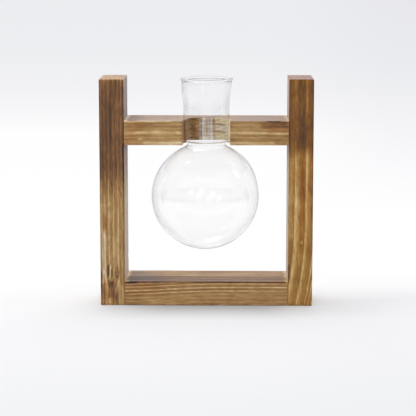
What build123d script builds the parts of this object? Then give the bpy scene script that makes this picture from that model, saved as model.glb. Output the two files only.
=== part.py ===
from build123d import *

import os
from math import asin, atan2, cos, degrees, hypot, pi, radians, sin, sqrt

# Propagation vase: a clear blown flask hangs by its neck in the open notch of a small wooden frame.
# Two posts carry a neck rail and a base rail, and two hidden dowels pin each butt joint.
# All lengths are in millimetres. The origin is on the flask's axis, level with the table.
# X runs to the right, Y to the back and Z up.

# Wooden stock, the same for all four pieces of the frame
stock_width = 18.0
stock_depth = 38.0
eased_edge = 0.8

# Room that the frame leaves round the flask
bulb_side_gap = 20.3
bulb_floor_gap = 23.8
post_rise = 30.0

# Notch in the neck rail
notch_radius = 16.9
notch_setback = 7.0
notch_rim_edge = 0.6

# Flask, outside sizes
bulb_radius = 39.2
waist_pinch = 2.75
waist_rise = 0.8
waist_curve = 2.5
shoulder_curve = 3.0
neck_taper_angle = 0.5
flare_curve = 160.0
flare_rise = 6.5
lip_rise = 30.5
lip_bead_radius = 1.1

# Flask, glass and seat
glass_wall = 1.0
seat_clearance = 0.15

# Dowels and their holes
dowel_radius = 3.0
dowel_in_rail = 18.0
dowel_face_margin = 9.0
dowel_tip_chamfer = 0.6
dowel_flute_count = 10
dowel_flute_depth = 0.3
dowel_crest_share = 0.45
hole_clearance = 0.05
hole_end_clearance = 0.5
post_skin = 5.5

# Overrun that carries every cut past the face it starts from
overrun = 1.0

# Depth of the frame, front to back, about the flask's axis
front_y = -notch_setback
back_y = stock_depth - notch_setback

# Flask radii that follow from the notch
neck_radius = notch_radius - seat_clearance
waist_radius = neck_radius - waist_pinch

# Heights, from the table up to the lip
waist_drop = sqrt((bulb_radius + waist_curve) ** 2 - (waist_radius + waist_curve) ** 2)
bulb_z = stock_width + bulb_floor_gap + bulb_radius
waist_z = bulb_z + waist_drop
neck_rail_z = waist_z - waist_rise
seat_z = neck_rail_z + stock_width
lip_z = seat_z + lip_rise - lip_bead_radius
post_height = seat_z + post_rise
rail_heights = {"neck": neck_rail_z, "base": 0}

# Widths, from the bulb out to the posts
rail_length = 2 * (bulb_radius + bulb_side_gap)
frame_width = rail_length + 2 * stock_width

# Dowel lengths
hole_in_post = stock_width - post_skin
hole_in_rail = dowel_in_rail + hole_end_clearance
dowel_in_post = hole_in_post - hole_end_clearance


def along(start, direction, distance):
    """The point that lies a distance from the start in a direction, both in the flask's half section."""
    return start[0] + distance * direction[0], start[1] + distance * direction[1]


def bearing(start, end):
    """The angle in degrees of the line from one point of the half section to another."""
    return degrees(atan2(end[1] - start[1], end[0] - start[0]))


def bend(centre, radius, start_angle, end_angle):
    """An arc about a centre, from one angle to another."""
    return CenterArc(centre, radius, start_angle, end_angle - start_angle)


# Centres of the flask's half section: the skin's two sides are arcs about the same centres
taper = radians(neck_taper_angle)
neck_up = (sin(taper), cos(taper))
neck_out = (cos(taper), -sin(taper))
neck_at_seat = (neck_radius, seat_z)
bulb_centre = (0, bulb_z)
waist_centre = (waist_radius + waist_curve, waist_z)
flare_start = along(neck_at_seat, neck_up, flare_rise)
flare_centre = along(flare_start, neck_out, flare_curve)


def shoulder_place():
    """Centre of the rounded shoulder, which touches both the waist's curve and the neck's line."""
    level = along(neck_at_seat, neck_out, -shoulder_curve)
    offset = (level[0] - waist_centre[0], level[1] - waist_centre[1])
    climb = offset[0] * neck_up[0] + offset[1] * neck_up[1]
    reach = waist_curve + shoulder_curve
    slack = sqrt(reach ** 2 - hypot(*offset) ** 2 + climb ** 2)
    return along(level, neck_up, slack - climb)


shoulder_centre = shoulder_place()
shoulder_end = along(shoulder_centre, neck_out, shoulder_curve)


def flask_side(inset):
    """One side of the glass skin, from the bottom of the bulb to the rim, moved inwards by the inset."""
    bulb_angle = bearing(bulb_centre, waist_centre)
    waist_angle = bearing(waist_centre, shoulder_centre)
    flare_angle = 180 - neck_taper_angle
    middle_curve = flare_curve + glass_wall / 2
    rim_angle = 180 - degrees(asin((lip_z - flare_centre[1]) / middle_curve))
    return [
        bend(bulb_centre, bulb_radius - inset, -90, bulb_angle),
        bend(waist_centre, waist_curve + inset, 180 + bulb_angle, waist_angle),
        bend(shoulder_centre, shoulder_curve - inset, waist_angle - 180, -neck_taper_angle),
        Line(along(shoulder_end, neck_out, -inset), along(flare_start, neck_out, -inset)),
        bend(flare_centre, flare_curve + inset, flare_angle, rim_angle),
    ]


def glass_flask():
    """The flask: a skin of even thickness, with a fire-polished bead round its lip."""
    outside = flask_side(0)
    inside = flask_side(glass_wall)
    rim = Line(outside[-1] @ 1, inside[-1] @ 1)
    pole = Line(outside[0] @ 0, inside[0] @ 0)
    skin = make_face(outside + inside + [rim, pole])
    lip = rim @ 0.5
    bead = Pos(lip.X, lip.Y) * Circle(lip_bead_radius)
    return revolve(Plane.XZ * (skin + bead), Axis.Z)


def block(length, height, low_x, low_z):
    """A piece of the stock, as deep as the frame, by its lowest corner."""
    shape = Box(length, stock_depth, height, align=(Align.MIN, Align.MIN, Align.MIN))
    return Pos(low_x, front_y, low_z) * shape


def dowel_places(rail_z):
    """Centres, front and back, of the dowels that pin a rail whose underside is at a height."""
    level = rail_z + stock_width / 2
    return {
        "front": (front_y + dowel_face_margin, level),
        "back": (back_y - dowel_face_margin, level),
    }


def dowel_hole(start_x, end_x, place):
    """The bore for a dowel, between two places along X."""
    length = end_x - start_x
    shape = Cylinder(dowel_radius + hole_clearance, length, rotation=(0, 90, 0))
    return Pos((start_x + end_x) / 2, place[0], place[1]) * shape


def post(side):
    """An upright: side is -1 for the left one and 1 for the right one."""
    inner_x = side * rail_length / 2
    outer_x = side * frame_width / 2
    shape = block(stock_width, post_height, min(inner_x, outer_x), 0)
    shape = fillet(shape.edges(), eased_edge)
    hole_ends = sorted([inner_x - side * overrun, inner_x + side * hole_in_post])
    for rail_z in rail_heights.values():
        for place in dowel_places(rail_z).values():
            shape -= dowel_hole(*hole_ends, place)
    return shape


def rail(rail_z):
    """A cross rail with its long edges eased and its ends bored for dowels."""
    shape = block(rail_length, stock_width, -rail_length / 2, rail_z)
    shape = fillet(shape.edges().filter_by(Axis.X), eased_edge)
    end_x = rail_length / 2
    for side in (-1, 1):
        hole_ends = sorted([side * (end_x + overrun), side * (end_x - hole_in_rail)])
        for place in dowel_places(rail_z).values():
            shape -= dowel_hole(*hole_ends, place)
    return shape


def neck_rail():
    """The upper rail, with a round notch that is open to the front."""
    cut_height = stock_width + 2 * overrun
    cut_z = neck_rail_z - overrun
    low = (Align.CENTER, Align.CENTER, Align.MIN)
    seat = Pos(0, 0, cut_z) * Cylinder(notch_radius, cut_height, align=low)
    way_length = notch_setback + overrun
    front = (Align.CENTER, Align.MAX, Align.MIN)
    way = Pos(0, 0, cut_z) * Box(2 * notch_radius, way_length, cut_height, align=front)
    shape = rail(neck_rail_z) - (seat + way)
    rims = shape.edges().filter_by(lambda edge: edge.length > pi * notch_radius - overrun)
    return fillet(rims.filter_by(GeomType.CIRCLE), notch_rim_edge)


def flute_outline():
    """Cross section of a dowel: crests on the round, with a groove between each pair."""
    step = 2 * pi / dowel_flute_count
    root_radius = dowel_radius - dowel_flute_depth
    points = []
    for index in range(dowel_flute_count):
        for share, radius in ((0, dowel_radius), (dowel_crest_share, dowel_radius)):
            angle = (index + share) * step
            points.append((radius * cos(angle), radius * sin(angle)))
        angle = (index + (1 + dowel_crest_share) / 2) * step
        points.append((root_radius * cos(angle), root_radius * sin(angle)))
    return make_face(Polyline(*points, close=True))


def dowel(side, place):
    """A fluted dowel with chamfered tips, across the joint between a rail and a post."""
    length = dowel_in_post + dowel_in_rail
    low = (Align.CENTER, Align.CENTER, Align.MIN)
    envelope = Cylinder(dowel_radius, length, align=low)
    envelope = chamfer(envelope.edges().filter_by(GeomType.CIRCLE), dowel_tip_chamfer)
    shape = envelope & extrude(flute_outline(), length)
    start_x = side * (rail_length / 2 - dowel_in_rail)
    return Pos(start_x, place[0], place[1]) * Rot(0, side * 90, 0) * shape


pieces = {
    "left_post": post(-1),
    "right_post": post(1),
    "neck_rail": neck_rail(),
    "base_rail": rail(rail_heights["base"]),
    "glass_flask": glass_flask(),
}
for rail_name, rail_z in rail_heights.items():
    for side_name, side in (("left", -1), ("right", 1)):
        for place_name, place in dowel_places(rail_z).items():
            pieces[f"dowel_{rail_name}_{side_name}_{place_name}"] = dowel(side, place)

os.makedirs("parts", exist_ok=True)
for name, piece in pieces.items():
    export_step(piece, f"parts/{name}.step")
    print(name, round(piece.volume, 1))
print("frame", round(frame_width, 2), stock_depth, round(post_height, 2))
print("flask", round(2 * bulb_radius, 2), "lip top", round(lip_z + lip_bead_radius, 2), "waist", round(waist_z, 2))
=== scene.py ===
from functools import partial
from itertools import product
from math import asin, atan2, cos, hypot, pi, radians, sin, sqrt

import bpy
import numpy as np
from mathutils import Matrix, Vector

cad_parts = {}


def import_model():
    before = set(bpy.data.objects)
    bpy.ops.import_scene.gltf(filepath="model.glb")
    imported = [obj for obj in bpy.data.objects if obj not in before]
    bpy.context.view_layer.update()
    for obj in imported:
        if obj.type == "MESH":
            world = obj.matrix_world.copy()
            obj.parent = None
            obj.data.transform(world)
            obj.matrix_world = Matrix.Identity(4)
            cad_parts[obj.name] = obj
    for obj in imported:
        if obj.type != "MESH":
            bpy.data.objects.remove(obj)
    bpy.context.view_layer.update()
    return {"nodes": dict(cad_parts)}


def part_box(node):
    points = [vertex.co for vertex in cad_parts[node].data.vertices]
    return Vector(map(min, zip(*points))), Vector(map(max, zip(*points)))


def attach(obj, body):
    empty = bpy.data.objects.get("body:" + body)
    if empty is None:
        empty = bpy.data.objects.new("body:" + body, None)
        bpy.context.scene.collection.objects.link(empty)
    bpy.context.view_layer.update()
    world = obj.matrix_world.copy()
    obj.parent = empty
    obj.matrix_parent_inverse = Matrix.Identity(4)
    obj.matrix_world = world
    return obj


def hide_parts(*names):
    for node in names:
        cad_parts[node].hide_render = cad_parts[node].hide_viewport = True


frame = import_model()

# Pieces are built in millimetres, in the frame's own axes, and scaled to metres at the end.
MM = 0.001
WHITE = (1, 1, 1, 1)

# Camera, fitted to the frame's corners in the photograph
PHOTO_SIDE = 416
FOCAL_LENGTH = 1426
OPTICAL_ROW = 150
SENSOR_WIDTH = 36
CAMERA_PLACE = (0.01894, -1.02746, 0.25388)
CAMERA_PITCH = 7.736
CAMERA_TURN = 0.993
VIEW_REACH = 60

# Wooden stock
EASED_EDGE = 0.8
EASED_SPREAD = 0.25
NOTCH_RADIUS = 16.9
NOTCH_ARRIS = 0.5
SANDED_DEPTH = 0.01
BRUSHED_DEPTH = 0.07
DENT_SIZE = 5
DENT_START = 0.62
DENT_DEPTH = 0.6
PITCH_ACROSS = 0.5
PITCH_ALONG = 1.5
EDGE_SHARES = (0, 0.3, 0.65)
SETTLE_ROUNDS = 6
SLOPE_STEP = 0.001
SHARP_ANGLE = 50
RING_STEPS = (1.6, 3.4)
MORE_RINGS = 40
# Waves of the year rings: sizes along and into the wood, and amount
RING_WAVES = [((55, 30), 0.4), ((17, 14), 0.16), ((6, 5), 0.08)]

# Flask, outside sizes as in the solids, with a thinner wall and bead
BULB_RADIUS = 39.2
BULB_Z = 81
WAIST_RADIUS = 14
WAIST_CURVE = 2.5
SHOULDER_CURVE = 3
NECK_RADIUS = 16.75
SEAT_Z = 136.5
NECK_TAPER = 0.5
FLARE_RISE = 6.5
FLARE_CURVE = 160
LIP_Z = 166
LIP_BEAD = 0.95
GLASS_WALL = 0.5
TURNS = 144
STRAIGHT_SHARES = (0, 0.03, 0.2, 0.5, 0.8, 0.97)

# Seeded noise
AXIS_PRIMES = (73856093, 19349663, 83492791)
FIRST_STIR = 6364136223846793005
LAST_STIR = 2862933555777941757
SCATTER_STEPS = 1000003


def linear(*levels):
    """Blender's colour from 8-bit levels, or from one level for a grey."""
    shares = (level / 255 for level in (levels * 3)[:3])
    return (*(v / 12.92 if v <= 0.04045 else ((v + 0.055) / 1.055) ** 2.4 for v in shares), 1.0)


def scatter(cells, seed):
    """A repeatable number from 0 to 1 for each row of whole numbers."""
    mixed = np.full(len(cells), seed, np.uint64)
    for column, prime in zip(cells.T, AXIS_PRIMES):
        key = column.astype(np.int64).astype(np.uint64) * np.uint64(prime)
        mixed = mixed * np.uint64(FIRST_STIR) + key
        mixed ^= mixed >> np.uint64(29)
    mixed = mixed * np.uint64(LAST_STIR)
    mixed ^= mixed >> np.uint64(32)
    return (mixed % np.uint64(SCATTER_STEPS)).astype(float) / SCATTER_STEPS


def noise(points, sizes, seed):
    """Smooth seeded noise from -1 to 1, with features of a size along each axis."""
    place = points / np.array(sizes, float)
    base = np.floor(place).astype(int)
    part = place - base
    ease = part * part * (3 - 2 * part)
    total = np.zeros(len(points))
    for corner in product((0, 1), repeat=points.shape[1]):
        weight = np.prod(np.where(corner, ease, 1 - ease), axis=1)
        cells = np.zeros((len(points), 3), int)
        cells[:, :points.shape[1]] = base + corner
        total += weight * scatter(cells, seed)
    return 2 * total - 1


def rise(values, start, end):
    """Goes smoothly from 0 at the start to 1 at the end."""
    share = np.clip((values - start) / (end - start), 0, 1)
    return share * share * (3 - 2 * share)


def fall(values, start, end):
    """Goes smoothly from 1 at the start to 0 at the end."""
    return 1 - rise(values, start, end)


def band(values, low, high, soft):
    """Is 1 between two values and fades to 0 outside them."""
    return rise(values, low - soft, low + soft) * fall(values, high - soft, high + soft)


def bump(values, centre, width):
    """Is 1 at the centre and dies away to both sides."""
    return np.exp(-((values - centre) / width) ** 2)


def stretched(grain, across, along):
    """A size for each axis: one along the grain, and another across it."""
    return [along if axis == grain else across for axis in range(3)]


# Meshes


def spaced(low, high, pitch, edge):
    """Places from low to high at an even pitch, with closer ones near both ends."""
    inner = np.linspace(low + edge, high - edge, max(2, round((high - low) / pitch)))
    near = np.array(EDGE_SHARES) * edge
    return np.concatenate([low + near, inner, high - near[::-1]])


def joined_plan(plans):
    """The points of several plan grids, each point once, and the quads between them."""
    points = []
    quads = []
    start = 0
    for grid_x, grid_y in plans:
        rows, columns = grid_x.shape
        index = start + np.arange(rows * columns).reshape(rows, columns)
        points.append(np.stack([grid_x.ravel(), grid_y.ravel()], 1))
        ring = (index[:-1, :-1], index[1:, :-1], index[1:, 1:], index[:-1, 1:])
        quads.append(np.stack([corner.ravel() for corner in ring], 1))
        start += rows * columns
    keys = np.round(np.concatenate(points) * 1e4).astype(np.int64)
    keys, back = np.unique(keys, axis=0, return_inverse=True)
    return keys / 1e4, back.ravel()[np.concatenate(quads)]


def outer_edges(quads, count):
    """The edges that only one quad has."""
    edges = np.concatenate([quads[:, [side, (side + 1) % 4]] for side in range(4)])
    twins = set((edges[:, 1] * count + edges[:, 0]).tolist())
    return edges[[code not in twins for code in (edges[:, 0] * count + edges[:, 1]).tolist()]]


def prism(plans, levels):
    """A closed mesh of quads: plan grids with shared borders, raised through the levels."""
    plan, quads = joined_plan(plans)
    count = len(plan)
    border = outer_edges(quads, count)
    rim = np.unique(border)
    place = np.zeros(count, int)
    place[rim] = np.arange(len(rim))
    last = len(levels) - 1
    shelves = [np.c_[plan, np.full(count, level)] for level in (levels[0], levels[-1])]
    shelves += [np.c_[plan[rim], np.full(len(rim), level)] for level in levels[1:-1]]

    def at(ends, level):
        if level == 0:
            return ends
        if level == last:
            return ends + count
        return 2 * count + (level - 1) * len(rim) + place[ends]

    walls = []
    for level in range(last):
        low = at(border, level)
        high = at(border, level + 1)
        walls.append(np.c_[low, high[:, ::-1]])
    faces = np.concatenate([quads[:, ::-1], quads + count] + walls)
    return np.concatenate(shelves), faces


def rounded(first, second, radius):
    """Distance to the meeting of two solids, with the edge between them rounded."""
    inside = np.minimum(np.maximum(first, second), -radius)
    return inside + np.hypot(np.maximum(first + radius, 0), np.maximum(second + radius, 0))


def slopes(distance, points):
    """The way that a distance grows at each point."""
    ways = np.zeros_like(points)
    for axis, move in enumerate(np.eye(3) * SLOPE_STEP):
        ways[:, axis] = (distance(points + move) - distance(points - move)) / (2 * SLOPE_STEP)
    return ways / np.maximum(np.linalg.norm(ways, axis=1, keepdims=True), 1e-9)


def settle(points, distance, depth):
    """Points moved onto the surface where a distance is zero, then inwards by a depth at each."""
    for _ in range(SETTLE_ROUNDS):
        points = points - distance(points)[:, None] * slopes(distance, points)
    return points - slopes(distance, points) * depth(points)[:, None]


def placed(name, data):
    """A new object in the scene."""
    thing = bpy.data.objects.new(name, data)
    bpy.context.scene.collection.objects.link(thing)
    return thing


def piece(name, points, faces, body, node, material, attributes=None, sharp=None):
    """A visible piece from points in millimetres, in place of a CAD node."""
    mesh = bpy.data.meshes.new(name)
    mesh.from_pydata((points * MM).tolist(), [], list(faces))
    mesh.update()
    mesh.shade_smooth()
    if sharp is not None:
        mesh.set_sharp_from_angle(angle=radians(sharp))
    for label, values in (attributes or {}).items():
        layer = mesh.attributes.new(label, "FLOAT", "POINT")
        layer.data.foreach_set("value", np.asarray(values, np.float32))
    mesh.materials.append(material)
    thing = placed(name, mesh)
    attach(thing, body)
    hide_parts(node)


# Shader nodes


class Net:
    """A material's or world's net of nodes."""

    def __init__(self, tree):
        self.tree = tree
        tree.nodes.clear()

    def add(self, kind, inputs=None, **settings):
        """Adds a node, sets or links its inputs and gives its outputs."""
        node = self.tree.nodes.new("ShaderNode" + kind)
        for key, value in settings.items():
            setattr(node, key, value)
        for key, value in (inputs or {}).items():
            if isinstance(value, bpy.types.NodeSocket):
                self.tree.links.new(value, node.inputs[key])
            else:
                node.inputs[key].default_value = value
        return node.outputs

    def maths(self, operation, first, second=0.0, third=0.0):
        """One step of arithmetic."""
        return self.add("Math", {0: first, 1: second, 2: third}, operation=operation)[0]

    def times(self, first, *others):
        """The values multiplied together."""
        for value in others:
            first = self.maths("MULTIPLY", first, value)
        return first

    def span(self, value, low, high, start=0.0, end=1.0, smooth=True):
        """Takes a value from one span to another."""
        inputs = {"Value": value, "From Min": low, "From Max": high, "To Min": start, "To Max": end}
        kind = "SMOOTHSTEP" if smooth else "LINEAR"
        return self.add("MapRange", inputs, interpolation_type=kind)[0]

    def within(self, value, low, low_full, high_full, high):
        """Is 1 between two values and fades smoothly to 0 at two wider ones."""
        return self.times(self.span(value, low, low_full), self.span(value, high_full, high, 1.0, 0.0))

    def blend(self, share, first, second, kind="MIX"):
        """Mixes two colours."""
        return self.add("Mix", {0: share, 6: first, 7: second}, data_type="RGBA", blend_type=kind)[2]

    def mix(self, share, first, second):
        """Mixes two shaders."""
        return self.add("MixShader", {0: share, 1: first, 2: second})[0]

    def ramp(self, value, stops):
        """A value's colour, by a list of places and 8-bit levels."""
        low, high = stops[0][0], stops[-1][0]
        colour = self.add("ValToRGB", {0: self.span(value, low, high, smooth=False)})[0]
        elements = colour.node.color_ramp.elements
        while len(elements) < len(stops):
            elements.new(0.5)
        for element, (place, *levels) in zip(elements, stops):
            element.position = (place - low) / (high - low)
            element.color = linear(*levels)
        return colour

    def grain(self, axis, scale, stretch, detail, rough, offset):
        """Noise in the object's own metres, drawn out along an axis."""
        inputs = {"Vector": self.add("TexCoord")["Object"], "Scale": stretched(axis, 1, stretch)}
        way = self.add("Mapping", {**inputs, "Location": (offset, offset * 0.7, offset * 1.3)})[0]
        inputs = {"Vector": way, "Scale": scale, "Detail": detail, "Roughness": rough}
        return self.add("TexNoise", inputs)["Fac"]

    def named(self, label):
        """A number kept at the mesh's points."""
        return self.add("Attribute", attribute_name=label, attribute_type="GEOMETRY")["Fac"]


def fresh_material(name):
    """A new material and its empty node tree."""
    material = bpy.data.materials.new(name)
    material.use_nodes = True
    return material, Net(material.node_tree)


# Torched wood

# Painted reflection: the wood's colour where the glass mirrors it, brighter than white
MIRRORED_WOOD = (1.2, 1.2, 1.23, 1)
RED_TINT = linear(255, 214, 186)
WOOD_STOPS = [
    (0, 28, 20, 15), (0.18, 70, 47, 28), (0.34, 106, 73, 38), (0.52, 148, 111, 62), (0.7, 183, 150, 97),
    (0.86, 211, 187, 141), (1, 236, 222, 188),
]
# Streaks, fibres, mottle and clouds: scale per metre, stretch along the grain, detail, roughness, offset
WOOD_NOISE = [
    (620, 0.035, 3, 0.65, 0), (1450, 0.09, 2, 0.6, 3), (820, 0.2, 4, 0.7, 5), (110, 1, 3, 0.55, 7),
]
# A year ring's pale line and dark hollow, as shares of its width
PALE_LINE_SHARES = (0, 0.09, 0.14, 0.32)
HOLLOW_SHARES = (0.24, 0.5, 0.66, 0.95)


def ring_lines(net, ring, part, mottle):
    """Pale lines and dark hollows of the year rings, each ring with its own strength."""
    index = net.maths("FLOOR", ring)
    lively = net.add("TexWhiteNoise", {"W": index}, noise_dimensions="1D")["Value"]
    lines = net.times(net.within(part, *PALE_LINE_SHARES), net.span(lively, 0, 1, 0.12, 0.3, False))
    lines = net.times(lines, net.span(mottle, 0.3, 0.62, 0.45, 1.25))
    return net.maths("MULTIPLY_ADD", net.within(part, *HOLLOW_SHARES), -0.1, lines)


def wood_colour(net, tone):
    """The colour of a tone, reddened, greyed partly as painted sheen, and painted pale where the glass
    mirrors it: a painted reflection.
    """
    colour = net.ramp(tone, WOOD_STOPS)
    colour = net.blend(net.named("red"), colour, net.blend(1, colour, RED_TINT, "MULTIPLY"))
    # Greyness lowers the saturation: partly the wood's own grey, partly painted sheen on tops and inner faces
    # and painted light in the notch
    saturation = net.maths("SUBTRACT", 1, net.named("ash"))
    inputs = {"Saturation": saturation, "Color": colour}
    colour = net.add("HueSaturation", inputs)[0]
    # Painted reflection: where glass has mirrored or bent the ray, the wood is painted pale by its pale
    # attribute
    path = net.add("LightPath")
    bounced = net.times(path["Is Singular Ray"], net.maths("MINIMUM", path["Glossy Depth"], 1))
    return net.blend(net.times(bounced, net.named("pale")), colour, MIRRORED_WOOD)


def torched_pine(name, axis):
    """Torched and brushed softwood: rings from the mesh, and noise along the grain."""
    material, net = fresh_material(name)
    ring = net.named("ring")
    part = net.maths("FRACT", ring)
    streaks, fibres, mottle, clouds = (net.grain(axis, *layer) for layer in WOOD_NOISE)
    lines = ring_lines(net, ring, part, mottle)
    tone = net.maths("MULTIPLY_ADD", lines, net.named("line"), net.named("tone"))
    tone = net.maths("MULTIPLY_ADD", net.maths("SUBTRACT", 0.5, part), net.named("band"), tone)
    flecks = net.times(net.named("fleck"), 0.3)
    for layer, amount in ((fibres, flecks), (streaks, 0.24), (mottle, 0.34), (clouds, 0.14)):
        tone = net.maths("MULTIPLY_ADD", net.maths("SUBTRACT", layer, 0.5), amount, tone)
    colour = wood_colour(net, tone)
    height = net.maths("MULTIPLY_ADD", fibres, 0.5, net.maths("MULTIPLY_ADD", streaks, 0.6, lines))
    relief = net.add("Bump", {"Height": height, "Strength": 0.35, "Distance": 0.0004})[0]
    rough = net.span(streaks, 0.2, 0.8, 0.66, 0.5, False)
    inputs = {"Base Color": colour, "Roughness": rough, "Normal": relief, "IOR": 1.5}
    inputs.update({"Sheen Weight": 0.4, "Sheen Roughness": 0.4, "Sheen Tint": (0.95, 0.9, 0.93, 1)})
    net.add("OutputMaterial", {"Surface": net.add("BsdfPrincipled", inputs)[0]})
    return material


# The axis that the grain runs along
LEVEL = 0
UPRIGHT = 2
PINE = {
    UPRIGHT: torched_pine("torched_pine_upright", UPRIGHT),
    LEVEL: torched_pine("torched_pine_level", LEVEL),
}
FLECKS = {UPRIGHT: 1, LEVEL: 0.55}


class Block:
    """A piece of the stock."""

    def __init__(self, node, grain):
        low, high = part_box(node)
        self.low = np.array(low) / MM
        self.high = np.array(high) / MM
        self.grain = grain

    def eased(self, points):
        """Radius of the eased edges, which were sanded by hand."""
        return EASED_EDGE + EASED_SPREAD * noise(points, stretched(self.grain, 9, 30), 11)

    def gaps(self, points):
        """Distances outside the block along each axis."""
        return (np.abs(points - (self.low + self.high) / 2) - (self.high - self.low) / 2).T


class Spot:
    """Points on a block, with their places along the grain, over the front face and behind it."""

    def __init__(self, block, points):
        side = 2 - block.grain
        self.block = block
        self.points = points
        self.along = points[:, block.grain]
        self.across = points[:, side] - block.low[side]
        self.deep = points[:, 1] - block.low[1]
        self.face = np.c_[self.across, self.along]
        self.front = fall(self.deep, 0.3, 1.0)
        self.top = fall(block.high[2] - points[:, 2], 0.3, 1.0)

    def inner(self):
        """Is 1 on the side of a post that faces the flask."""
        inner_x = min(self.block.low[0], self.block.high[0], key=abs)
        return fall(np.abs(self.points[:, 0] - inner_x), 0.2, 0.8) * (1 - self.front)

    def worn(self):
        """Is 1 on a post's long arrises, which the torch burns first."""
        sides, faces, _ = fall(-self.block.gaps(self.points), 0.3, 1.3)
        return sides * faces


def post_distance(block, points):
    """Distance to a post, with all its edges eased."""
    x, y, z = block.gaps(points)
    radius = block.eased(points)
    return rounded(rounded(x, y, radius), z, radius)


def rail_distance(block, points):
    """Distance to a rail, with its long edges eased and its ends cut square."""
    x, y, z = block.gaps(points)
    return np.maximum(rounded(y, z, block.eased(points)), x)


def notch_reach(points):
    """Distance from the notch's axis, or in front of it from the middle of the way in."""
    x, y = points[:, 0], points[:, 1]
    return np.where(y > 0, np.hypot(x, y), np.abs(x))


def notched_distance(block, points):
    """Distance to the rail with the open notch."""
    x, y, z = block.gaps(points)
    plan = rounded(y, NOTCH_RADIUS - notch_reach(points), NOTCH_ARRIS)
    return np.maximum(rounded(plan, z, block.eased(points)), x)


def ring_places(given, seed):
    """Places of the pale lines: the given ones, and more on both sides at uneven steps."""
    draws = np.random.default_rng(seed)
    before = given[0] - np.cumsum(draws.uniform(*RING_STEPS, MORE_RINGS))
    after = given[-1] + np.cumsum(draws.uniform(*RING_STEPS, MORE_RINGS))
    return np.concatenate([before[::-1], given, after])


def ring_numbers(spot, given, seed, slope, bow, wander=1.0, drift=None):
    """Which year ring each point lies in: whole numbers fall on the pale lines."""
    place = np.c_[spot.along, spot.deep]
    reach = spot.across + slope * spot.deep + bow * spot.deep ** 2
    for step, (sizes, amount) in enumerate(RING_WAVES):
        reach += noise(place, sizes, seed + step) * amount * wander
    if drift:
        reach += drift(spot.along)
    places = ring_places(given, seed)
    return np.interp(reach, places, np.arange(len(places)))


def paint(spot, patches):
    """Adds up soft patches on the front face: spans across and along, amount and softness."""
    ragged = 0.6 * noise(spot.face, (1.6, 6.0), 77) + 0.4 * noise(spot.face, (0.9, 3.5), 78)
    total = 0
    for low, high, start, end, amount, soft in patches:
        wide = band(spot.across + ragged * (0.2 + soft * 0.9), low, high, soft)
        length = band(spot.along + ragged * (1.0 + soft * 4.0), start, end, 3 * soft)
        total = total + amount * wide * length
    return total * spot.front


def draw(spot, lines):
    """Adds up thin lines on the front face, through given places."""
    sway = 0.2 * noise(spot.face, (30, 5), 79)
    strength = 0.8 + 0.45 * noise(spot.face, (30, 3.5), 80)
    total = 0
    for width, amount, *path in lines:
        across, along = np.array(sorted(path, key=lambda place: place[1])).T
        ends = band(spot.along, along[0] + 0.5, along[-1] - 0.5, 1.0)
        centre = np.interp(spot.along, along, across) + sway
        total = total + amount * ends * bump(spot.across, centre, width)
    return total * strength * spot.front


def torch_clouds(spot, seed):
    """Uneven scorching, longer along the grain than across it."""
    sizes = np.array(stretched(spot.block.grain, 8.0, 34.0))
    return noise(spot.points, sizes, seed) * 0.6 + noise(spot.points, sizes / 2.6, seed + 1) * 0.4


def grooves(points, ring):
    """Depth of the brushed grain and of small dents."""
    part = ring - np.floor(ring)
    soft_wood = rise(part, 0.12, 0.4) * fall(part, 0.8, 1.0)
    dents = np.maximum(noise(points, [DENT_SIZE] * 3, 31) - DENT_START, 0) * DENT_DEPTH
    return SANDED_DEPTH + BRUSHED_DEPTH * soft_wood + dents


def wooden_piece(node, grain, mesh, distance, rings, shades):
    """Settles a block's mesh on its eased shape with brushed grain, and colours it."""
    block = Block(node, grain)

    def ring(points):
        return ring_numbers(Spot(block, points), **rings)

    points, faces = mesh(block)
    points = settle(points, partial(distance, block), lambda places: grooves(places, ring(places)))
    values = {"ring": ring(points), "fleck": FLECKS[grain], **shades(Spot(block, points))}
    values = {label: np.broadcast_to(value, len(points)) for label, value in values.items()}
    piece(node + "_wood", points, faces, "frame", node, PINE[grain], values, SHARP_ANGLE)


def block_mesh(block):
    """The grid over a plain block, fine across the grain and coarse along it."""
    pitches = stretched(block.grain, PITCH_ACROSS, PITCH_ALONG)
    lines = [spaced(*span, EASED_EDGE) for span in zip(block.low, block.high, pitches)]
    return prism([np.meshgrid(lines[0], lines[1], indexing="ij")], lines[2])


# Steps before the notch's edge, and columns beside and round the notch
ARRIS_STEPS = (0.9, 0.5, 0.22, 0)
COLUMNS_BESIDE = 32
COLUMNS_ROUND = 53


def notched_mesh(block):
    """The grid over the neck rail: a part each side of the notch, and one behind it."""
    back = block.high[1]
    behind = spaced(0, back, PITCH_ACROSS, EASED_EDGE)
    beside = spaced(block.low[1], 0, PITCH_ACROSS, EASED_EDGE)
    rows = np.concatenate([beside[:-1], behind])
    reach = np.linspace(block.low[0], -NOTCH_RADIUS, COLUMNS_BESIDE)
    reach = np.concatenate([reach[:-1], reach[-1] - np.array(ARRIS_STEPS)])
    plans = [np.meshgrid(columns, rows, indexing="ij") for columns in (reach, -reach[::-1])]
    turns = np.linspace(-pi / 2, pi / 2, COLUMNS_ROUND)[:, None]
    edge = NOTCH_RADIUS * np.cos(turns)
    grid_x = np.repeat(NOTCH_RADIUS * np.sin(turns), len(behind), 1)
    plans.append((grid_x, edge + behind / back * (back - edge)))
    return prism(plans, spaced(block.low[2], block.high[2], PITCH_ACROSS, EASED_EDGE))


def mirrored_post(z):
    """How pale a post is painted where the glass mirrors it, a painted reflection: most at its foot, which
    the bulb shows, half as much at its top, none between.
    """
    return 0.9 * fall(z, 112, 122) + 0.5 * rise(z, 140, 147)


def scorched(spot, amounts, sizes, heights):
    """Is 1 above the torched zone's ragged lower edge; given with that edge's fingers."""
    place = np.c_[spot.across, spot.deep]
    fingers = amounts[0] * noise(place, sizes, 8) + amounts[1] * noise(spot.points, (1.6, 1.6, 5), 9)
    upper = rise(spot.along + fingers + 3 * noise(spot.points, (5, 5, 20), 3), *heights)
    return upper, fingers


# Left post

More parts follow.
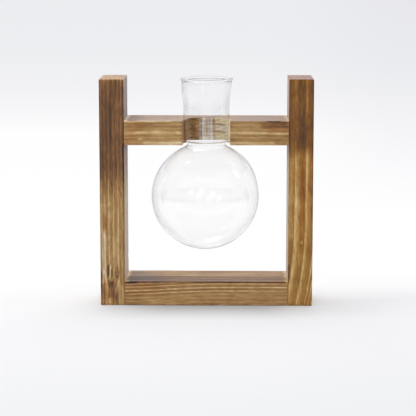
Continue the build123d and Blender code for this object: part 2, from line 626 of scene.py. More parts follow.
LEFT_RINGS = dict(given=[-0.6, 1.6, 3.5, 6.5, 9.9, 13.2, 15.7, 18.4], seed=5, slope=0.32, bow=0.008)
LEFT_SCORCH = ((6, 5), (1.1, 1.3), (76, 101))
LEFT_KNOT = (12.2, 23.6)
LEFT_TONES = [
    (16.7, 18.8, 88, 119, -0.3, 0.5),
    (17.2, 18.8, 30, 88, -0.12, 0.4),
    (5.8, 9.6, 118, 166, -0.05, 0.9),
    (10.3, 14.6, 82, 163, 0.045, 0.8),
    (14.6, 17.2, 84, 150, 0.025, 0.7),
    (-0.5, 13.6, 1, 18, -0.04, 0.8),
    (0.8, 4.4, 84, 112, -0.04, 1.2),
    (1, 7.4, 74.3, 75.1, 0.16, 0.2),
    (13, 17.4, 52, 80, 0.05, 1),
    (3, 5.4, 54, 68, -0.09, 0.7),
    (1.9, 4.3, 24, 56, 0.17, 0.5),
    (1.6, 4.9, 16, 25, 0.16, 0.5),
    (13.6, 17, 26, 50, -0.05, 1),
    (8.6, 12.6, 28, 50, 0.04, 0.8),
    (4.9, 6.6, 21.5, 30, -0.28, 0.5),
    (7.8, 8.8, 21.5, 26.5, -0.28, 0.4),
    (5.8, 10.2, 6.5, 19.5, -0.17, 0.35),
    (6.2, 9.6, 15, 19.3, -0.14, 0.4),
    (9, 13.8, 1.2, 9, -0.15, 0.35),
    (0.7, 4.2, 0, 16, -0.07, 0.5),
    (14.1, 17.6, 0, 15.5, 0.06, 0.5),
    (10.6, 14, 20, 28, -0.1, 0.5),
    (14.2, 17.8, 17, 30, -0.08, 0.6),
    (0.2, 1.3, 13.6, 25, -0.32, 0.3),
    # Painted shade: the bottom edge darkened where it turns under to the floor
    (-0.5, 18.5, -1, 0.7, -0.22, 0.4),
]
LEFT_REDS = [(0.5, 4.4, 0, 17, 0.7, 0.8), (3.0, 5.4, 54, 68, 0.6, 0.7), (5.8, 12.0, 3, 20, 0.5, 0.8)]
LEFT_ASH = [(1.9, 4.3, 20, 56, 0.2, 0.5)]
# Thin lines: width, amount, and places across and along
LEFT_STREAKS = [
    (0.45, 0.09, (10.1, 34), (9.9, 80)),
    (0.45, 0.1, (13.8, 20), (13.4, 86)),
    (0.3, -0.22, (5.3, 31), (5.8, 27), (5.4, 24), (6.1, 20.5)),
    (0.26, 0.34, (7.5, 31), (7.3, 26), (7.4, 20.5)),
    (0.4, 0.3, (4.2, 19), (4.9, 15), (5.5, 10.5)),
    (0.4, 0.3, (5.9, 21), (8.4, 19.4)),
    (0.32, -0.3, (11, 18), (11.1, 12.8)),
    (0.42, 0.26, (14.1, 20), (12.4, 15), (11.2, 9.5)),
    (0.35, 0.24, (13.4, 9.6), (14, 1)),
    (0.34, 0.36, (6.7, 5.5), (6.6, 1)),
    (0.3, 0.36, (8.5, 6.5), (8.7, 0.8)),
    (0.4, 0.1, (3.2, 14), (3.6, 1)),
    (0.3, -0.14, (1.9, 22), (2.3, 18)),
    (0.3, -0.16, (3.4, 23), (3, 19.5)),
    (0.26, 0.2, (9.8, 27), (10.2, 20)),
    (0.3, -0.2, (12.8, 29), (12.2, 26.5)),
    (0.3, 0.16, (16.2, 33), (16, 28)),
    (0.3, 0.16, (13, 50), (12.9, 30)),
]


def left_shades(spot):
    """Scorched dark above, golden below, torn and charred at the foot, with painted shade along its bottom
    edge.
    """
    z, front, top, inner = spot.along, spot.front, spot.top, spot.inner()
    upper, fingers = scorched(spot, *LEFT_SCORCH)
    tone = 0.57 - 0.235 * upper + 0.07 * torch_clouds(spot, 21) + 0.3 * top
    tone += 0.07 * rise(z + 0.6 * fingers, 158, 167) * front - 0.06 * spot.worn() * upper
    tone += inner * (0.05 + 0.2 * fall(z, 112, 118) - 0.03 * fall(z, 70, 90))
    tone += paint(spot, LEFT_TONES) + draw(spot, LEFT_STREAKS)
    knot = np.hypot(spot.across - LEFT_KNOT[0], (z - LEFT_KNOT[1]) * 0.8)
    tone += front * (0.12 * bump(knot, 0, 0.7) - 0.2 * bump(knot, 1.5, 0.35))
    line = 0.5 - 0.12 * upper + 0.3 * rise(z, 156, 166) * front
    red = 0.3 * upper + 0.15 * top + paint(spot, LEFT_REDS)
    # Painted sheen: the inner face greyed, more towards the top; the top a little richer in colour; a grey
    # patch on the front
    ash = inner * (0.1 + 0.3 * rise(z, 90, 130)) - 0.1 * top + paint(spot, LEFT_ASH)
    return dict(tone=tone, line=line, band=0.02, red=red, ash=ash, pale=mirrored_post(z))


def left_post():
    wooden_piece("left_post", UPRIGHT, block_mesh, post_distance, LEFT_RINGS, left_shades)


# Right post


def right_drift(z):
    """How far the rings lean over near the foot."""
    return 0.0020 * np.maximum(60 - z, 0) ** 2


RIGHT_RINGS = dict(given=[-3.6, 4.5, 12.3, 18.6], seed=9, slope=-0.28, bow=-0.006, wander=0.6)
RIGHT_RINGS["drift"] = right_drift
RIGHT_SCORCH = ((4, 3), (2.2, 2.4), (105, 119))
RIGHT_TONES = [
    (7.6, 13, 116, 166, -0.04, 0.8),
    (4.4, 8, 115, 166, -0.1, 0.7),
    (13.2, 16.6, 84, 166, -0.055, 0.6),
    (0.6, 3.8, 114, 138, -0.04, 0.6),
    (0.4, 3.4, 50, 108, 0.065, 0.7),
    (4.6, 8.2, 84, 108, -0.05, 0.7),
    (8.6, 12.2, 84, 108, -0.05, 0.7),
    (8.6, 12.2, 54, 80, 0.06, 0.7),
    (4.6, 8.4, 27, 50, 0.06, 0.8),
    (13.2, 16.6, 2, 20, -0.035, 0.7),
    (8, 14, 114, 138, -0.09, 1),
    (12.6, 16.4, 138, 167, 0.05, 0.8),
    (0, 8.6, 50, 88, 0.05, 1.2),
    (4.6, 8.4, 54, 80, 0.05, 0.8),
    (8.6, 12.2, 40, 112, -0.04, 0.8),
    (17, 18.8, 60, 167, -0.14, 0.4),
    (17.2, 18.8, 30, 60, -0.06, 0.4),
    (12, 16.8, 26, 48, -0.05, 1),
    (-0.5, 1.2, 18, 30, -0.2, 0.5),
    (9.2, 10.9, 46.9, 48.3, 0.36, 0.3),
    (8.6, 11.6, 44.5, 50.5, -0.04, 0.5),
    # Painted shade: the bottom edge darkened where it turns under to the floor
    (-0.5, 18.5, -1, 0.7, -0.2, 0.5),
]
RIGHT_REDS = [
    (8.6, 12.2, 40, 112, 0.5, 0.9),
    (17, 18.8, 60, 167, 0.8, 0.5),
    (8.8, 11.3, 46, 49.2, -0.6, 0.3),
]


def right_shades(spot):
    """Dark above, with broad bands that slant at the foot."""
    upper, _ = scorched(spot, *RIGHT_SCORCH)
    top, inner = spot.top, spot.inner()
    tone = 0.585 - 0.175 * upper + 0.055 * torch_clouds(spot, 22) + paint(spot, RIGHT_TONES)
    tone += 0.02 * top - 0.05 * spot.worn() * upper + 0.11 * inner
    red = 0.12 + 0.2 * upper + 0.5 * top + paint(spot, RIGHT_REDS)
    # Painted sheen: the inner face greyed; the top and front a little richer in colour
    ash = 0.3 * inner - 0.2 * top - 0.1 * spot.front
    shades = dict(tone=tone, line=0.5 - 0.1 * upper, band=0.18 - 0.1 * upper, red=red, ash=ash)
    return {**shades, "pale": mirrored_post(spot.along)}


def right_post():
    wooden_piece("right_post", UPRIGHT, block_mesh, post_distance, RIGHT_RINGS, right_shades)


# Neck rail

NECK_RINGS = dict(given=[-1.4, 2.0, 5.2, 8.4, 11.6, 14.6, 17.4], seed=13, slope=0.3, bow=0.004)
NECK_TONES = [
    (16.9, 17.9, -59, -26, 0.2, 0.3),
    (0.5, 2.4, -46, 50, 0.2, 0.4),
    (0.6, 3.8, -34, -17, 0.06, 0.8),
    (12.6, 17.6, 40, 60, -0.15, 1),
    (10.4, 17.6, 45, 60, -0.1, 1.2),
    (17.2, 18.5, 44, 53, -0.3, 0.3),
    (1.5, 7.5, 44, 60, -0.07, 1.2),
    (10.5, 16.8, -60, -42, -0.07, 1.4),
    (0, 7.5, -60, -50, -0.06, 1.5),
    (3.9, 5.2, -49.2, -46.8, 0.22, 0.3),
    (2.8, 3.4, -51, -44, -0.1, 0.3),
    (5, 6.2, -40, -20, 0.03, 0.5),
    (8.6, 13.2, -58, -41, 0.05, 0.7),
    (10.8, 13.2, -37, -18, 0.03, 0.6),
    (11, 16.6, 18, 41, 0.055, 0.8),
    (11, 16.6, 43, 58, 0.07, 0.8),
    (8.2, 10.4, 44, 58, -0.06, 0.6),
    (0.8, 3.8, -58, -41, 0.03, 0.7),
    (-0.5, 18.5, -17.9, -16.9, -0.1, 0.25),
    (-0.5, 18.5, 16.9, 17.8, -0.16, 0.25),
    (-0.5, 18.5, -20.8, -20.2, 0.06, 0.2),
    (-0.5, 18.5, -19.6, -19.1, 0.05, 0.2),
]
NECK_REDS = [(0.0, 18.0, -60, -50, 0.4, 1.5), (10.2, 17.5, 42, 60, 0.5, 1.2)]
NECK_STREAKS = [
    (1.15, 0.24, (8.5, -60), (9.2, -50), (9.9, -36), (9.4, -18), (9.6, 20), (9.3, 40), (8.6, 60)),
    (1.2, 0.08, (8, -40), (8.2, -24)),
]
# Painted light: pale stripes at the back of the notch, for the caustic streaks that the neck's glass throws
# there: from, to, strength
PALE_STRIPES = [
    (-5.6, -4.4, 0.5),
    (-3.3, -1.9, 1.2),
    (-1.4, 0.1, 0.8),
    (0.6, 1.9, 0.9),
    (2.2, 3.3, 1.3),
    (3.7, 5, 0.9),
]
# Heights of the two dark lines painted across the notch's painted light, for a window's bars reflected in the
# neck, and their half width
PANE_LINES = (7.7, 12.9)
PANE_LINE_WIDTH = 0.45


def inner_corner(spot):
    """Is 1 next to the posts, where the torch didn't reach."""
    return fall(noise(spot.points, (3, 3, 3), 4) - spot.block.gaps(spot.points)[0], 0.8, 3.6)


def notch_shades(spot):
    """Tone, red and greyness in the notch, mostly painted light and shade: painted shade on its left, painted
    caustic stripes at its back, painted light on its right.
    """
    points, x, y, across = spot.points, spot.along, spot.points[:, 1], spot.across
    in_notch = fall(notch_reach(points), NOTCH_RADIUS, NOTCH_RADIUS + 0.6)
    # Painted light on the notch's right side; painted shade on its left, darkest under its top
    lit = rise(x, 5, 6.6) * in_notch
    tone = in_notch * (0.04 - 0.12 * rise(-x, 6, 9.5) - 0.05 * rise(-x, 7, 12)) + 0.33 * lit
    tone -= 0.2 * in_notch * band(x, -14, -7.5, 0.8) * rise(across, 16, 17)
    tone += 0.1 * in_notch * noise(points, (3, 3, 1.6), 51) * (1 - lit)
    # Painted reflection: dark lines across the painted light, for a window's bars
    for height in PANE_LINES:
        tone -= 0.42 * lit * bump(across, height, PANE_LINE_WIDTH) * fall(x, 13.5, 15)
    # Painted light: the caustic stripes at the back of the notch
    wavy = x + 0.25 * noise(points, (9, 9, 3), 53)
    stripes = sum(share * band(wavy, low, high, 0.3) for low, high, share in PALE_STRIPES)
    stripes *= in_notch * rise(y, 2, 8)
    arris = in_notch * fall(across, 0.5, 1.4) * rise(x, -10, -4)
    # Painted shade, mottled, on the notch's left side
    dark_side = in_notch * fall(x, -5, 0) * (1 - spot.top)
    tone += 0.33 * stripes + 0.3 * arris + 0.12 * dark_side * noise(points, (4, 4, 2.2), 54)
    ash = 0.6 * (stripes + arris) * (1 - spot.top) + dark_side * (0.15 - 0.35 * rise(-x, 6.5, 9))
    # Painted reflection: greyed between the window's bars
    ash += 0.3 * lit * band(across, *PANE_LINES, 0.4)
    return tone, 0.3 * in_notch * fall(x, 3, 8), ash


def neck_shades(spot):
    """Tan, with a pale line along the middle, and a top greyed as painted sheen."""
    x, top, corner = spot.along, spot.top, inner_corner(spot)
    tone, red, ash = notch_shades(spot)
    tone += 0.585 + 0.06 * torch_clouds(spot, 23) + paint(spot, NECK_TONES) + draw(spot, NECK_STREAKS)
    tone += top * (0.08 - 0.05 * rise(x, 17, 30) + 0.06 * fall(spot.deep, 1.5, 3.5))
    tone += top * (0.34 * corner - 0.05 * rise(x, 16, 22) - 0.16 * fall(x, -54, -42) * (1 - corner))
    red += 0.06 + 0.3 * top + paint(spot, NECK_REDS)
    # Painted sheen: the top greyed, less next to the posts
    ash += 0.24 * top * (1 - 0.6 * corner)
    # Painted reflection: the underside is painted a little pale where the glass mirrors it
    underside = fall(spot.across, 0.2, 0.8)
    return dict(tone=tone, line=0.28, band=0.03, red=red, ash=ash, pale=0.15 * underside)


def neck_rail():
    wooden_piece("neck_rail", LEVEL, notched_mesh, notched_distance, NECK_RINGS, neck_shades)


# Base rail


def base_drift(x):
    """How far the rings climb from left to right."""
    return 0.26 - 3.1 * rise(x, -75, 15)


BASE_RINGS = dict(given=[2.6, 5.2, 7.9, 10.5, 13.2, 15.5, 17.8], seed=17, slope=0.22, bow=0.01)
BASE_RINGS.update(wander=0.4, drift=base_drift)
BASE_TONES = [
    (16.9, 18.4, -40, 60, -0.16, 0.4),
    (16.6, 18.4, -59, -50, -0.42, 0.4),
    (0.5, 7.5, -58, -48, -0.07, 1.5),
    (1, 6.5, -46, -36, 0.05, 1.5),
    (1.5, 7, -22, -16, -0.04, 1),
    (8, 9.6, 20, 56, -0.03, 0.8),
    (13, 17.3, -58, -36, -0.05, 0.8),
    (2, 11.4, -32, 34, 0.035, 1),
    (12.6, 17.3, -30, 0, 0.03, 0.8),
    (8.5, 11.4, 34, 57, 0.03, 0.8),
    # Painted shade: the bottom edge darkened where it turns under to the floor
    (-0.5, 0.7, -60, 60, -0.24, 0.3),
]


def base_shades(spot):
    """Fine dark and pale lines on the front's upper part, and a top in two tones."""
    x, deep, top, corner = spot.along, spot.deep, spot.top, inner_corner(spot)
    far = rise(deep, 15, 21)
    tone = 0.565 + 0.06 * torch_clouds(spot, 24) + paint(spot, BASE_TONES)
    tone += top * (0.08 * far - 0.17 * (1 - far))
    tone -= 0.13 * top * fall(x + 0.6 * (deep - 19), -50, -28) * (1 - corner)
    tone += top * far * (0.06 * band(x, -32, -5, 3) - 0.04 * rise(x, 30, 40))
    tone += top * (0.42 * corner + 0.1 * fall(deep, 1.2, 2.6) * rise(x, 18, 30))
    tone += 0.09 * top * noise(np.c_[x, deep], (26, 2.6), 52)
    stripes = spot.front * rise(spot.across + base_drift(x), 6.2, 8.0)
    line = 0.3 + 0.7 * stripes * (1 - 0.25 * rise(x, -20, 10))
    red = 0.08 + 0.4 * stripes * fall(x, -50, -20) + 0.2 * top * far
    # Painted sheen on the top: greyed at its left end, richer in colour over its front part
    ash = top * 0.2 * (fall(x, -50, -28) - (1 - far))
    # The pale value is a painted reflection: the rail is painted pale where the glass mirrors it
    return dict(tone=tone, line=line, band=0.02, red=red, ash=ash, pale=0.75)


def base_rail():
    wooden_piece("base_rail", LEVEL, block_mesh, rail_distance, BASE_RINGS, base_shades)


# Glass


def clear_glass():
    """Clear glass that lets the lamps and the room's light through."""
    material, net = fresh_material("clear_glass")
    path = net.add("LightPath")
    inputs = {"Base Color": WHITE, "Roughness": 0, "IOR": 1.47, "Transmission Weight": 1}
    glass = net.add("BsdfPrincipled", inputs)
    clear = net.add("BsdfTransparent", {"Color": (0.97, 0.975, 0.975, 1)})
    through = net.maths("MAXIMUM", path["Is Shadow Ray"], path["Is Diffuse Ray"])
    mixed = net.mix(through, glass[0], clear[0])
    net.add("OutputMaterial", {"Surface": mixed})
    return material


def arc(centre, radius, start, end, count):
    """Points of an arc in the half section, without its last point."""
    angles = np.linspace(start, end, count, endpoint=False)
    return centre + radius * np.c_[np.cos(angles), np.sin(angles)]


def flask_outline():
    """The half section: up the outside, round the lip and down the inside."""
    tilt = radians(NECK_TAPER)
    up = np.array([sin(tilt), cos(tilt)])
    out = np.array([cos(tilt), -sin(tilt)])
    bulb = np.array([0, BULB_Z])
    drop = sqrt((BULB_RADIUS + WAIST_CURVE) ** 2 - (WAIST_RADIUS + WAIST_CURVE) ** 2)
    waist = np.array([WAIST_RADIUS + WAIST_CURVE, BULB_Z + drop])
    seat = np.array([NECK_RADIUS, SEAT_Z])
    level = seat - SHOULDER_CURVE * out
    offset = level - waist
    climb = offset @ up
    shoulder = level + up * (sqrt((WAIST_CURVE + SHOULDER_CURVE) ** 2 - offset @ offset + climb ** 2) - climb)
    flare_start = seat + FLARE_RISE * up
    flare = flare_start + FLARE_CURVE * out
    bulb_angle = atan2(*(waist - bulb)[::-1])
    waist_angle = atan2(*(shoulder - waist)[::-1])
    bead_half = asin(GLASS_WALL / 2 / LIP_BEAD)
    bead_drop = sqrt(LIP_BEAD ** 2 - (GLASS_WALL / 2) ** 2)
    middle_curve = FLARE_CURVE + GLASS_WALL / 2
    rim_angle = pi - asin((LIP_Z - flare[1]) / middle_curve)
    lip = flare + middle_curve * np.array([cos(rim_angle), sin(rim_angle)])
    stop_angle = pi - asin((LIP_Z - bead_drop - flare[1]) / middle_curve)

    def side(inset):
        foot = shoulder + (SHOULDER_CURVE - inset) * out
        reach = flare_start - inset * out - foot
        return np.concatenate([
            arc(bulb, BULB_RADIUS - inset, -pi / 2, bulb_angle, 72),
            arc(waist, WAIST_CURVE + inset, pi + bulb_angle, waist_angle, 12),
            arc(shoulder, SHOULDER_CURVE - inset, waist_angle - pi, -tilt, 14),
            foot + np.outer(STRAIGHT_SHARES, reach),
            arc(flare, FLARE_CURVE + inset, pi - tilt, stop_angle, 22),
        ])

    bead = arc(lip, LIP_BEAD, bead_half - pi / 2, 1.5 * pi - bead_half, 20)
    return np.concatenate([side(0), bead, side(GLASS_WALL)[::-1]])


def revolved(outline):
    """The outline turned about Z: points and faces, with one point at each end of it."""
    turns = np.linspace(0, 2 * pi, TURNS, endpoint=False)
    body = outline[1:-1]
    radius, z = np.repeat(body, TURNS, axis=0).T
    angle = np.tile(turns, len(body))
    points = np.c_[radius * np.cos(angle), radius * np.sin(angle), z]
    points = np.concatenate([points, [[0, 0, outline[0, 1]], [0, 0, outline[-1, 1]]]])
    rows = np.arange(len(body) - 1)[:, None] * TURNS
    here = np.arange(TURNS)
    there = (here + 1) % TURNS
    quads = np.stack([rows + here, rows + there, rows + TURNS + there, rows + TURNS + here], -1)
    faces = quads.reshape(-1, 4).tolist()
    bottom, inner = len(points) - 2, len(points) - 1
    last = (len(body) - 1) * TURNS
    for turn in range(TURNS):
        after = (turn + 1) % TURNS
        faces.append([bottom, after, turn])
        faces.append([inner, last + turn, last + after])
    return points, faces


# How the flask strays from a true turned shape: its lean, its wavering, and the neck's left side
BULB_LEAN = 0.9
LEAN_HEIGHTS = (85, 119)
WAVER_SHARE = 0.002
WAVER_SIZE = 26
WAVER_HEIGHTS = (110, 122)
LEFT_REACH = (2, 14)
BULGE = 0.55
BULGE_Z = 156
BULGE_HEIGHT = 5
TUCK = 0.65
TUCK_HEIGHTS = (161, 166)


def hand_blown(points):
    """The flask's points, leaning and wavering a little."""
    points = points.copy()
    z = points[:, 2]
    shape = noise(points, [WAVER_SIZE] * 3, 41)
    points[:, :2] *= 1 - WAVER_SHARE * (1 + shape[:, None]) * fall(z, *WAVER_HEIGHTS)[:, None]
    points[:, 0] -= BULB_LEAN * fall(z, *LEAN_HEIGHTS)
    left = rise(-points[:, 0], *LEFT_REACH)
    points[:, 0] -= left * BULGE * bump(z, BULGE_Z, BULGE_HEIGHT)
    points[:, 0] += left * TUCK * rise(z, *TUCK_HEIGHTS)
    return points


def glass_flask():
    points, faces = revolved(flask_outline())
    piece("flask_glass", hand_blown(points), faces, "flask", "glass_flask", clear_glass())


# Dowels

BEECH_FIBRES = (2400, 0.04, 3, 0.6, 0)
BEECH_FLECKS = (1500, 0.16, 1, 0.5, 5)
BEECH_STOPS = [(0.1, 168, 122, 84), (0.5, 206, 166, 124), (0.9, 226, 192, 152)]


def beech():
    """Turned beech with short dark flecks along its grain."""
    material, net = fresh_material("beech")
    fibres = net.grain(LEVEL, *BEECH_FIBRES)
    flecks = net.grain(LEVEL, *BEECH_FLECKS)
    tone = net.maths("MULTIPLY_ADD", net.span(flecks, 0.6, 0.72), -0.3, fibres)
    colour = net.ramp(tone, BEECH_STOPS)
    relief = net.add("Bump", {"Height": fibres, "Strength": 0.3, "Distance": 0.0002})[0]
    rough = net.span(fibres, 0.2, 0.8, 0.66, 0.5, False)
    skin = net.add("BsdfPrincipled", {"Base Color": colour, "Roughness": rough, "Normal": relief})
    net.add("OutputMaterial", {"Surface": skin[0]})
    return material


def dress_dowels():
    """Gives each dowel its wood."""
    material = beech()
    for name, node in frame["nodes"].items():
        if name.startswith("dowel_"):
            node.data.materials.clear()
            node.data.materials.append(material)


# Stage


def camera():
    """The photograph's camera."""
    data = bpy.data.cameras.new("camera")
    data.sensor_width = SENSOR_WIDTH
    data.lens = SENSOR_WIDTH * FOCAL_LENGTH / PHOTO_SIDE
    data.shift_y = (OPTICAL_ROW - PHOTO_SIDE / 2) / PHOTO_SIDE
    data.clip_end = VIEW_REACH
    eye = placed("camera", data)
    eye.location = CAMERA_PLACE
    eye.rotation_euler = (radians(90 - CAMERA_PITCH), 0, radians(CAMERA_TURN))
    bpy.context.scene.camera = eye


# Lamps, aimed at the object's middle, in metres: name, place, width and height, power
LAMP_TARGET = (0, 0, 0.07)
LAMPS = [
    ("key", (-1, -0.12, 0.4), (0.5, 0.6), 5),
    ("side", (1, -0.05, 0.36), (0.5, 0.5), 1.6),
    ("top", (0, 0.55, 1.1), (0.9, 0.6), 5),
    ("fill", (-0.1, -1.3, 0.9), (1, 0.8), 7),
]


def lamp(name, place, size, power):
    """A soft lamp, which glass and gloss see only in the world's picture."""
    data = bpy.data.lights.new(name, "AREA")
    data.shape = "RECTANGLE"
    data.size, data.size_y = size
    data.energy = power
    light = placed(name, data)
    light.location = place
    x, y, z = np.subtract(LAMP_TARGET, place)
    light.rotation_euler = (atan2(hypot(x, y), -z), 0, atan2(y, x) - pi / 2)
    light.visible_camera = light.visible_glossy = light.visible_transmission = False


# The studio as glass and gloss show it, by angles in degrees: a white card behind the object and a grey
# room round it, whose levels go by the angle from the card's edge
CARD_HALF_WIDTH = 4.5
CARD_TOP = -2
CARD_FOOT = -14
CORNER_SHARES = (0.26, 0.46)
CORNER_GLOW = 0.8
ROOM = [
    (0, 255), (2, 255), (5, 226, 226, 228), (8, 199, 199, 203), (11, 199, 199, 203),
    (18, 236, 236, 238), (35, 238, 238, 240), (60, 212, 212, 215), (120, 213, 212, 219),
]
# A pale strip at eye level, close to the card
STRIP_HEIGHTS = (-9, -7.5, -4, -2)
STRIP_REACH = (13, 20)
STRIP_GLOW = 0.6
# The ceiling, greyer than the walls
CEILING_SPAN = (40, 62)
CEILING = linear(120, 120, 128)
CEILING_SHARE = 0.9
# How the levels fall as the direction rises towards the horizon
SKY = [
    (-9.5, 255), (-7.18, 255), (-6.86, 254), (-6.06, 247, 247, 249), (-5.1, 242, 242, 244),
    (-3.5, 237, 238, 241), (-1.5, 236, 237, 240),
]
# The dark room behind the camera at eye level: heights, and levels by the turn from the front
FRONT_BAND = (-11, -8.8, -4.8, 1)
FRONT = [
    (-180, 255), (-160, 255), (-100, 70, 70, 74), (-46, 60, 60, 64), (-24, 130, 130, 134),
    (24, 130, 130, 134), (46, 70, 70, 74), (100, 80, 80, 83), (160, 255), (180, 255),
]
# Bright things in the studio: turn from and to, height from and to, strength, softness
SOFT_BOXES = [
    (-108, -100, 56, 64, 2.6, 2),
    (88, 96, 28, 42, 1.4, 2.5),
    (-176, -152, 44, 56, 2.8, 4),
    (-17, -7, -24, 0, 0.35, 1),
    (-3, 8, -24, 0, 0.2, 1),
    (12, 18, -24, 0, 0.3, 1),
    (22, 33, -24, 0, 0.2, 1),
    (166, 190, 1, 64, 0.3, 3),
    (-190, -166, 1, 64, 0.3, 3),
    (-22, -16, 43, 48, 1.6, 2),
    (-36, -26, 8, 20, 1, 2.5),
    (-12, -2, 10, 24, 1, 2.5),
    (12, 22, 4, 16, 1, 2.5),
]


def room_picture(net, turn, height, level_share):
    """The white card, the room round it, the strip at eye level and the ceiling."""
    aside = net.maths("SUBTRACT", 180 - CARD_HALF_WIDTH, net.maths("ABSOLUTE", turn))
    aside = net.maths("MAXIMUM", net.times(aside, level_share), 0)
    below = net.maths("SUBTRACT", CARD_FOOT, height)
    over = net.maths("MAXIMUM", net.maths("SUBTRACT", height, CARD_TOP), below)
    over = net.maths("MAXIMUM", over, 0)
    away = net.maths("SQRT", net.maths("MULTIPLY_ADD", aside, aside, net.times(over, over)))
    room = net.ramp(away, ROOM)
    corner = net.times(aside, net.maths("MAXIMUM", below, 0))
    corner = net.maths("DIVIDE", corner, net.maths("MULTIPLY_ADD", away, away, 0.1))
    room = net.blend(net.span(corner, *CORNER_SHARES, 0, CORNER_GLOW), room, WHITE)
    strip = net.times(net.within(height, *STRIP_HEIGHTS), net.span(away, *STRIP_REACH, STRIP_GLOW, 0))
    room = net.blend(strip, room, WHITE)
    return net.blend(net.span(height, *CEILING_SPAN, 0, CEILING_SHARE), room, CEILING)


def soft_box_glow(net, turn, height):
    """The bright things' light, added up."""
    total = 0
    for low, high, base, top, strength, soft in SOFT_BOXES:
        wide = net.within(turn, low - soft, low + soft, high - soft, high + soft)
        tall = net.within(height, base - soft, base + soft, top - soft, top + soft)
        total = net.maths("MULTIPLY_ADD", net.times(wide, tall), strength, total)
    return net.add("CombineXYZ", {0: total, 1: total, 2: total})[0]


def studio_picture(net, way):
    """What glass and gloss see in each direction."""
    parts = net.add("SeparateXYZ", {0: way})
    turn = net.times(net.maths("ARCTAN2", parts["X"], net.times(parts["Y"], -1)), 180 / pi)
    slant = net.maths("ARCSINE", parts["Z"])
    height = net.times(slant, 180 / pi)
    room = room_picture(net, turn, height, net.maths("COSINE", slant))
    picture = net.blend(1, room, net.ramp(height, SKY), "MULTIPLY")
    front = net.ramp(turn, FRONT)
    picture = net.blend(net.within(height, *FRONT_BAND), picture, front, "MULTIPLY")
    return net.blend(1, picture, soft_box_glow(net, turn, height), "ADD")


BACKDROP = linear(236, 237, 241)
AMBIENT = (0.96, 0.97, 1, 1)
AMBIENT_STRENGTH = 0.5


def world():
    """Even light for the wood, and a studio that glass and gloss show."""
    place = bpy.data.worlds.new("studio")
    bpy.context.scene.world = place
    place.use_nodes = True
    net = Net(place.node_tree)
    path = net.add("LightPath")
    way = net.add("TexCoord")["Generated"]
    seen = net.maths("MAXIMUM", path["Is Glossy Ray"], path["Is Transmission Ray"])
    shown = net.blend(seen, BACKDROP, studio_picture(net, way))
    pale = net.maths("MAXIMUM", seen, path["Is Camera Ray"])
    ambient = net.add("Background", {"Color": AMBIENT, "Strength": AMBIENT_STRENGTH})
    picture = net.add("Background", {"Color": shown, "Strength": 1})
    mixed = net.mix(pale, ambient[0], picture[0])
    net.add("OutputWorld", {"Surface": mixed})


# Levels of the sweep by nearness, from far behind to in front, on its left and right
SWEEP_LEFT = [
    (0, 236, 237, 240), (0.11, 237, 238, 241), (0.21, 242, 242, 244), (0.27, 247, 247, 249),
    (0.32, 254), (0.5, 255), (0.69, 255), (0.74, 249, 249, 250), (0.87, 247, 247, 250),
    (1, 242, 243, 245),
]
SWEEP_RIGHT = [
    (0, 231, 231, 236), (0.15, 234, 235, 239), (0.27, 242, 242, 244), (0.39, 249, 249, 251),
    (0.51, 255), (0.66, 255), (0.72, 248, 248, 250), (0.87, 245, 245, 248), (1, 241, 242, 244),
]
# The sweep's places below are in metres. Nearness is 1 over the distance from a line in front.
SWEEP_HALF = 30
SWEEP_DROP = 0.0002
SWEEP_STEP = 1.03
SWEEP_LEAST = 0.5
SWEEP_NEARNESS = (0.119, 1.27)
SWEEP_SIDES = (0.02, 0.14)
SWEEP_DIFFUSE = (0.945, 0.945, 0.945, 1)
BOUNCE_TINT = (0.8, 0.8, 0.81, 1)
# Painted shadows: strength, then where each starts, is full, is full no more and ends, along X and Y
PAINTED_SHADOWS = [
    (0.44, (-0.1, -0.02, 0.035, 0.09), (-0.052, -0.004, 0, 0.03)),
    (0.09, (0.06, 0.08, 0.09, 0.17), (-0.045, -0.012, 0.004, 0.03)),
]


def sweep_tint(net, x, y):
    """The sweep's levels, with the painted shadows."""
    near = net.maths("DIVIDE", 1, net.maths("MAXIMUM", net.maths("ADD", y, SWEEP_STEP), SWEEP_LEAST))
    place = net.span(near, *SWEEP_NEARNESS, smooth=False)
    aside = net.span(net.times(x, near), *SWEEP_SIDES)
    tint = net.blend(aside, net.ramp(place, SWEEP_LEFT), net.ramp(place, SWEEP_RIGHT))
    for strength, sides, depth in PAINTED_SHADOWS:
        shadow = net.times(net.within(x, *sides), net.within(y, *depth))
        tint = net.blend(net.times(shadow, strength), tint, (0, 0, 0, 1))
    return tint


def sweep_shown(net, x, y):
    """The sweep for the camera: its levels glow, and near the object they take the lamps' shadow."""
    tint = sweep_tint(net, x, y)
    shadowed = net.times(
        net.span(y, 0.02, 0.07, 0.55, 0),
        net.span(net.maths("ABSOLUTE", x), 0.2, 0.5, 1, 0),
        net.span(y, -0.09, -0.02, 0.5, 1),
    )
    colour = net.blend(1, tint, SWEEP_DIFFUSE, "MULTIPLY")
    shade = net.add("BsdfDiffuse", {"Color": colour})
    glow = net.add("Emission", {"Color": tint, "Strength": 1})
    return net.mix(shadowed, glow[0], shade[0])


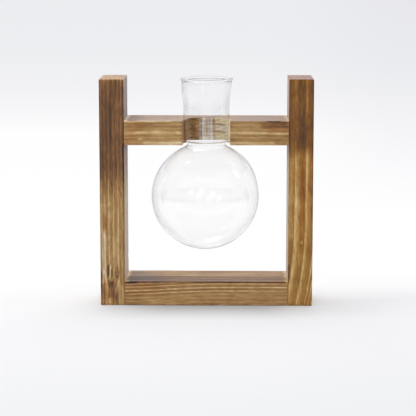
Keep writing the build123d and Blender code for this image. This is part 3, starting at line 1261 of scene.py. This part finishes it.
def table_shown(net, x, y, close_by, gone):
    """The table in front, as glass mirrors it: brighter close by, and gone at its edges."""
    strength = net.span(y, -0.8, -0.25, 0.55, 0.92)
    strength = net.maths("ADD", strength, net.span(y, -0.26, -0.18, 0, 0.35))
    table = net.add("Emission", {"Color": WHITE, "Strength": strength})
    beside = net.span(net.maths("ABSOLUTE", x), 0.3, 0.7, 1, 0)
    on_table = net.times(net.span(y, -0.86, -0.78), beside, close_by)
    return net.mix(on_table, gone, table[0])


def floor():
    """A white sweep that keeps the object's shadow and pales with distance."""
    mesh = bpy.data.meshes.new("floor")
    corners = [(x * SWEEP_HALF, y * SWEEP_HALF, 0) for x, y in ((-1, -1), (1, -1), (1, 1), (-1, 1))]
    mesh.from_pydata(corners, [], [(0, 1, 2, 3)])
    ground = placed("floor", mesh)
    ground.location = (0, 0, -SWEEP_DROP)
    material, net = fresh_material("sweep")
    mesh.materials.append(material)
    path = net.add("LightPath")
    place = net.add("TexCoord")["Object"]
    parts = net.add("SeparateXYZ", {0: place})
    x, y = parts["X"], parts["Y"]
    gone = net.add("BsdfTransparent")[0]
    bare = net.add("BsdfDiffuse", {"Color": BOUNCE_TINT})[0]
    shown = sweep_shown(net, x, y)
    close_by = net.span(y, 0.04, 0.07, 1, 0)
    mirrored = table_shown(net, x, y, close_by, gone)
    ahead = net.span(y, -0.16, -0.1, 1, 0)
    ahead = net.times(ahead, net.maths("MINIMUM", path["Glossy Depth"], 1))
    bent = net.mix(ahead, net.mix(close_by, gone, shown), mirrored)
    first = net.mix(path["Is Camera Ray"], bare, shown)
    second = net.mix(path["Is Glossy Ray"], first, mirrored)
    mixed = net.mix(path["Is Transmission Ray"], second, bent)
    net.add("OutputMaterial", {"Surface": mixed})


MOST_BOUNCES = 24
GLASS_BOUNCES = 20


def settings():
    """The plain view transform, and enough bounces for glass within glass."""
    scene = bpy.context.scene
    scene.view_settings.view_transform = "Standard"
    scene.cycles.max_bounces = MOST_BOUNCES
    scene.cycles.transmission_bounces = GLASS_BOUNCES
    scene.cycles.transparent_max_bounces = GLASS_BOUNCES
    scene.cycles.caustics_reflective = False
    scene.cycles.caustics_refractive = False


left_post()
right_post()
neck_rail()
base_rail()
glass_flask()
dress_dowels()
camera()
for row in LAMPS:
    lamp(*row)
world()
floor()
settings()
